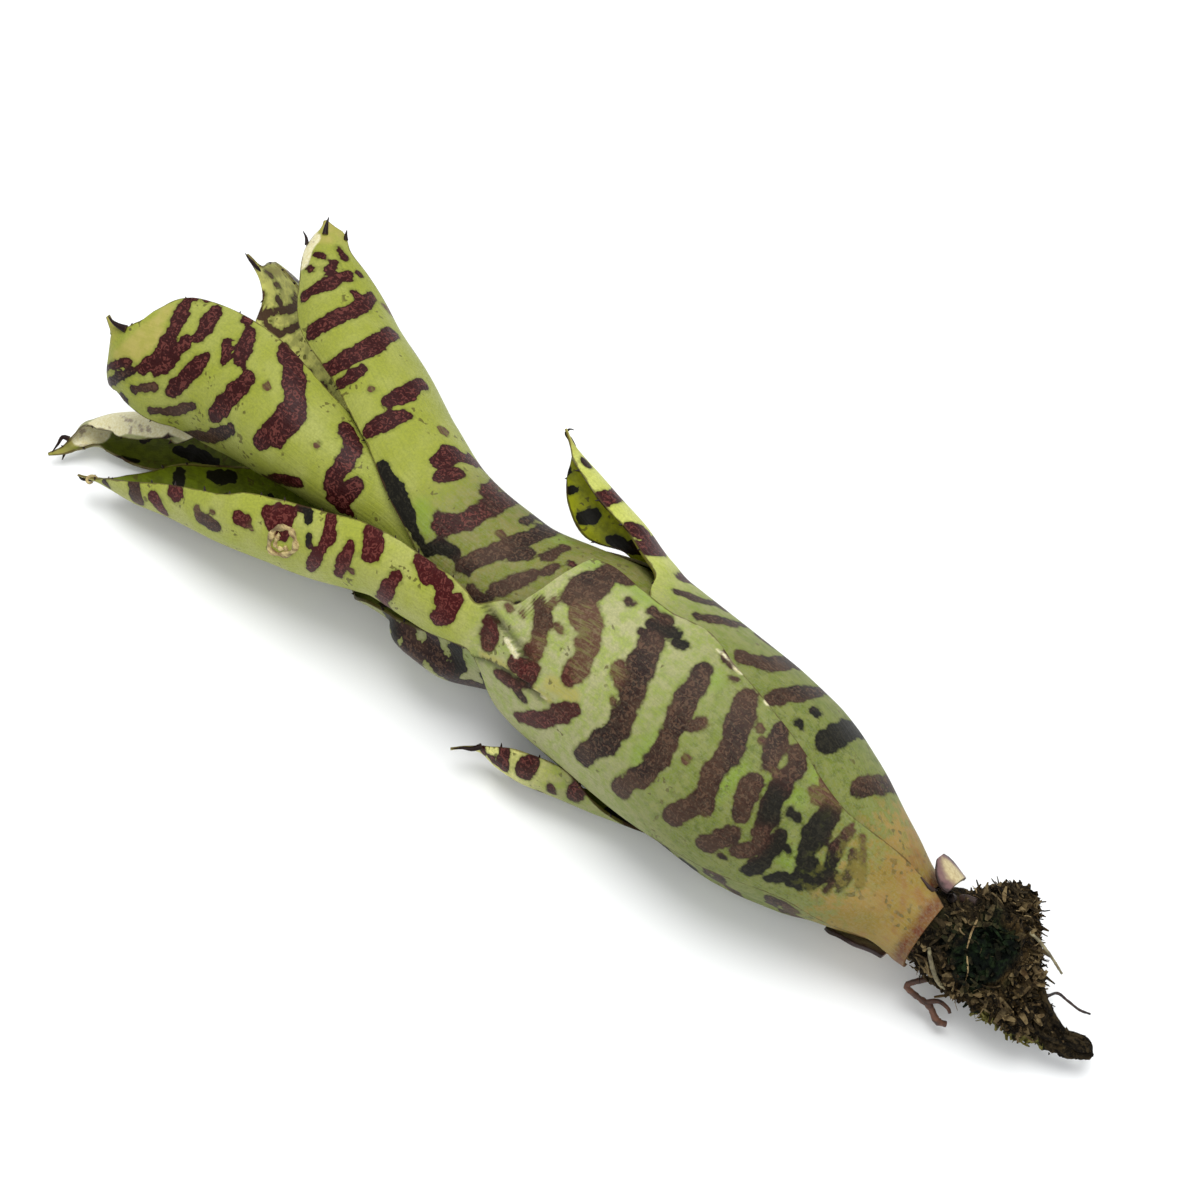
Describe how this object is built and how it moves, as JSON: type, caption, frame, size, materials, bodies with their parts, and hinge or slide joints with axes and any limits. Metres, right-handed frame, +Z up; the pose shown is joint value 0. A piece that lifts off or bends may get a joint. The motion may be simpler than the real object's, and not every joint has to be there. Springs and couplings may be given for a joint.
{
  "type": "tubular bromeliad",
  "caption": "Small tubular bromeliad with banded, spine-edged leaves, pulled up and lying on its side with its root clump.",
  "frame": {"origin": "on the ground, under the belly of the sheath tube where the low leaf's sheath rests", "axes": "+X from the roots to the leaf tips along the tube, +Z up from the ground, +Y towards the side with the low leaf"},
  "size_m": [0.2047, 0.0581, 0.0371],
  "materials": {
    "stem": "matte",
    "leaf_sheath": "satin, scurfy, banded dark maroon",
    "leaf_blade": "satin, banded dark maroon",
    "leaf_pale": "satin, whitish scurf",
    "leaf_inner": "satin",
    "old_leaf": "dry, matte",
    "root_clump": "rough",
    "root_red": "matte",
    "root_dark": "matte",
    "straw": "matte"
  },
  "bodies": {
    "root": {"stem": "stem", "leaf_outer_left": "leaf_sheath", "leaf_low_left": "leaf_blade", "leaf_right_spur": "leaf_blade", "leaf_floor": "leaf_pale", "leaf_upper_right": "leaf_blade", "leaf_back_right": "leaf_inner", "leaf_upper_left": "leaf_blade", "leaf_heart_a": "leaf_inner", "leaf_heart_b": "leaf_inner", "old_base_upper": "old_leaf", "old_base_lower": "old_leaf", "root_clump": "root_clump", "root_reddish": "root_red", "root_dark": "root_dark", "straw_near": "straw", "straw_far": "straw"}
  },
  "joints": []
}
